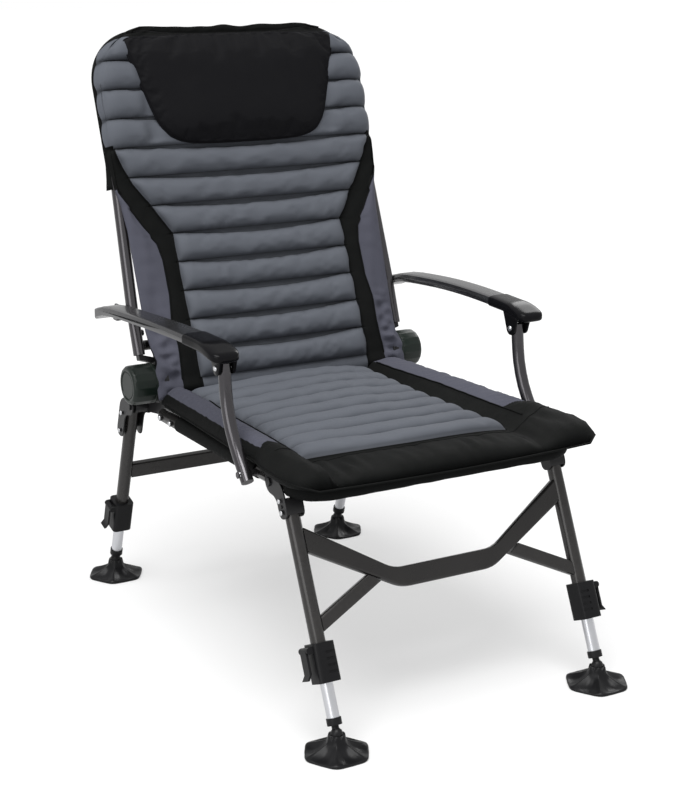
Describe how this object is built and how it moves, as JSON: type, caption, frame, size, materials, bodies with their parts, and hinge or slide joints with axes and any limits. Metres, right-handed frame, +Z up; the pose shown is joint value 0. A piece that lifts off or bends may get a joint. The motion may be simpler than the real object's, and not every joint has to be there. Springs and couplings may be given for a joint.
{
  "type": "carp fishing chair",
  "caption": "High-back reclining fishing chair with a quilted mattress, padded headrest, linked armrests and splayed telescopic legs on mud feet.",
  "frame": {"origin": "on the ground, midway between the four feet", "axes": "+Z up, -Y the way the sitter faces, +X to the sitter's left"},
  "size_m": [0.684, 0.999, 1.0792],
  "materials": {
    "frame_paint": "satin gunmetal paint",
    "link_paint": "glossy dark metallic paint",
    "arm_gloss": "glossy dark grey paint",
    "black_steel": "black powder coat",
    "zinc": "bright zinc plate",
    "bright_aluminium": "bright drawn tube",
    "black_gloss": "polished",
    "black_plastic": "fine moulded texture",
    "knob_plastic": "dark green-black moulding",
    "black_fabric": "matt polyester weave",
    "grey_fabric": "smooth slate grey quilted cloth with woven side panels",
    "headrest_fabric": "smooth black knit"
  },
  "bodies": {
    "seat": {"seat_frame_tube": "frame_paint", "rear_cross_tube": "frame_paint", "seat_sling": "black_fabric", "seat_cushion": "grey_fabric", "joint_plate_left": "black_steel", "joint_plate_right": "black_steel", "recline_bolt_left": "zinc", "recline_bolt_right": "zinc"},
    "back": {"back_frame_tube": "link_paint", "lower_back_tube": "frame_paint", "back_mattress": "grey_fabric", "back_pocket": "black_fabric", "headrest_pad": "headrest_fabric", "back_hinge_arm_left": "black_steel", "back_hinge_arm_right": "black_steel", "armrest_lug_left": "black_steel", "armrest_lug_right": "black_steel"},
    "front_legs": {"front_cross_tube": "frame_paint", "leg_tube_front_left": "frame_paint", "leg_bracket_front_left": "black_steel", "leg_clamp_front_left": "black_plastic", "front_brace_left": "frame_paint", "leg_tube_front_right": "frame_paint", "leg_bracket_front_right": "black_steel", "leg_clamp_front_right": "black_plastic", "front_brace_right": "frame_paint"},
    "rear_legs": {"rear_leg_cross_bar": "frame_paint", "leg_tube_rear_left": "frame_paint", "leg_bracket_rear_left": "black_steel", "leg_clamp_rear_left": "black_plastic", "leg_tube_rear_right": "frame_paint", "leg_bracket_rear_right": "black_steel", "leg_clamp_rear_right": "black_plastic"},
    "upright_left": {"arm_upright_left": "link_paint"},
    "armrest_left": {"armrest_bar_left": "arm_gloss", "armrest_cap_left": "black_gloss"},
    "knob_left": {"recline_knob_left": "knob_plastic"},
    "upright_right": {"arm_upright_right": "link_paint"},
    "armrest_right": {"armrest_bar_right": "arm_gloss", "armrest_cap_right": "black_gloss"},
    "knob_right": {"recline_knob_right": "knob_plastic"},
    "telescope_front_left": {"inner_leg_front_left": "bright_aluminium", "ankle_front_left": "black_plastic"},
    "lever_front_left": {"clamp_lever_front_left": "black_plastic"},
    "foot_front_left": {"mud_foot_front_left": "black_plastic"},
    "telescope_front_right": {"inner_leg_front_right": "bright_aluminium", "ankle_front_right": "black_plastic"},
    "lever_front_right": {"clamp_lever_front_right": "black_plastic"},
    "foot_front_right": {"mud_foot_front_right": "black_plastic"},
    "telescope_rear_left": {"inner_leg_rear_left": "bright_aluminium", "ankle_rear_left": "black_plastic"},
    "lever_rear_left": {"clamp_lever_rear_left": "black_plastic"},
    "foot_rear_left": {"mud_foot_rear_left": "black_plastic"},
    "telescope_rear_right": {"inner_leg_rear_right": "bright_aluminium", "ankle_rear_right": "black_plastic"},
    "lever_rear_right": {"clamp_lever_rear_right": "black_plastic"},
    "foot_rear_right": {"mud_foot_rear_right": "black_plastic"}
  },
  "joints": [
    {"name": "back_recline", "type": "hinge", "parent": "seat", "child": "back", "pos_m": [0, 0.233, 0.451], "axis": [1, 0, 0], "range_deg": [-20, 75]},
    {"name": "front_leg_fold", "type": "hinge", "parent": "seat", "child": "front_legs", "pos_m": [0, -0.25772, 0.4], "axis": [1, 0, 0], "range_deg": [0, 107]},
    {"name": "rear_leg_fold", "type": "hinge", "parent": "seat", "child": "rear_legs", "pos_m": [0, 0.29877, 0.392], "axis": [1, 0, 0], "range_deg": [-97, 0]},
    {"name": "upright_swing_left", "type": "hinge", "parent": "seat", "child": "upright_left", "pos_m": [0.294, -0.21, 0.402], "axis": [1, 0, 0], "range_deg": [-16, 59]},
    {"name": "armrest_pivot_left", "type": "hinge", "parent": "upright_left", "child": "armrest_left", "pos_m": [0.294, -0.141, 0.566], "axis": [1, 0, 0], "range_deg": [-59, 16]},
    {"name": "knob_turn_left", "type": "hinge", "parent": "seat", "child": "knob_left", "pos_m": [0.2845, 0.233, 0.451], "axis": [1, 0, 0], "range_deg": [-180, 180]},
    {"name": "upright_swing_right", "type": "hinge", "parent": "seat", "child": "upright_right", "pos_m": [-0.294, -0.21, 0.402], "axis": [1, 0, 0], "range_deg": [-16, 59]},
    {"name": "armrest_pivot_right", "type": "hinge", "parent": "upright_right", "child": "armrest_right", "pos_m": [-0.294, -0.141, 0.566], "axis": [1, 0, 0], "range_deg": [-59, 16]},
    {"name": "knob_turn_right", "type": "hinge", "parent": "seat", "child": "knob_right", "pos_m": [-0.2845, 0.233, 0.451], "axis": [1, 0, 0], "range_deg": [-180, 180]},
    {"name": "telescope_slide_front_left", "type": "slide", "parent": "front_legs", "child": "telescope_front_left", "axis": [0, -0.4035, -0.915], "range_m": [-0.054, 0.08]},
    {"name": "lever_cam_front_left", "type": "hinge", "parent": "front_legs", "child": "lever_front_left", "pos_m": [0.284, -0.39312, 0.15843], "axis": [0, -0.915, 0.4035], "range_deg": [0, 100]},
    {"name": "foot_tilt_front_left", "type": "hinge", "parent": "telescope_front_left", "child": "foot_front_left", "pos_m": [0.259, -0.448, 0.034], "axis": [1, 0, 0], "range_deg": [-15, 15]},
    {"name": "telescope_slide_front_right", "type": "slide", "parent": "front_legs", "child": "telescope_front_right", "axis": [0, -0.4035, -0.915], "range_m": [-0.054, 0.08]},
    {"name": "lever_cam_front_right", "type": "hinge", "parent": "front_legs", "child": "lever_front_right", "pos_m": [-0.284, -0.39312, 0.15843], "axis": [0, 0.915, -0.4035], "range_deg": [0, 100]},
    {"name": "foot_tilt_front_right", "type": "hinge", "parent": "telescope_front_right", "child": "foot_front_right", "pos_m": [-0.259, -0.448, 0.034], "axis": [1, 0, 0], "range_deg": [-15, 15]},
    {"name": "telescope_slide_rear_left", "type": "slide", "parent": "rear_legs", "child": "telescope_rear_left", "axis": [0, 0.3156, -0.9489], "range_m": [-0.054, 0.08]},
    {"name": "lever_cam_rear_left", "type": "hinge", "parent": "rear_legs", "child": "lever_rear_left", "pos_m": [0.284, 0.40507, 0.16305], "axis": [0, -0.9489, -0.3156], "range_deg": [0, 100]},
    {"name": "foot_tilt_rear_left", "type": "hinge", "parent": "telescope_rear_left", "child": "foot_rear_left", "pos_m": [0.259, 0.448, 0.034], "axis": [1, 0, 0], "range_deg": [-15, 15]},
    {"name": "telescope_slide_rear_right", "type": "slide", "parent": "rear_legs", "child": "telescope_rear_right", "axis": [0, 0.3156, -0.9489], "range_m": [-0.054, 0.08]},
    {"name": "lever_cam_rear_right", "type": "hinge", "parent": "rear_legs", "child": "lever_rear_right", "pos_m": [-0.284, 0.40507, 0.16305], "axis": [0, 0.9489, 0.3156], "range_deg": [0, 100]},
    {"name": "foot_tilt_rear_right", "type": "hinge", "parent": "telescope_rear_right", "child": "foot_rear_right", "pos_m": [-0.259, 0.448, 0.034], "axis": [1, 0, 0], "range_deg": [-15, 15]}
  ],
  "couplings": [
    {"joint": "upright_swing_left", "follows": "back_recline", "ratio": 0.78},
    {"joint": "armrest_pivot_left", "follows": "back_recline", "ratio": -0.78},
    {"joint": "upright_swing_right", "follows": "back_recline", "ratio": 0.78},
    {"joint": "armrest_pivot_right", "follows": "back_recline", "ratio": -0.78}
  ]
}
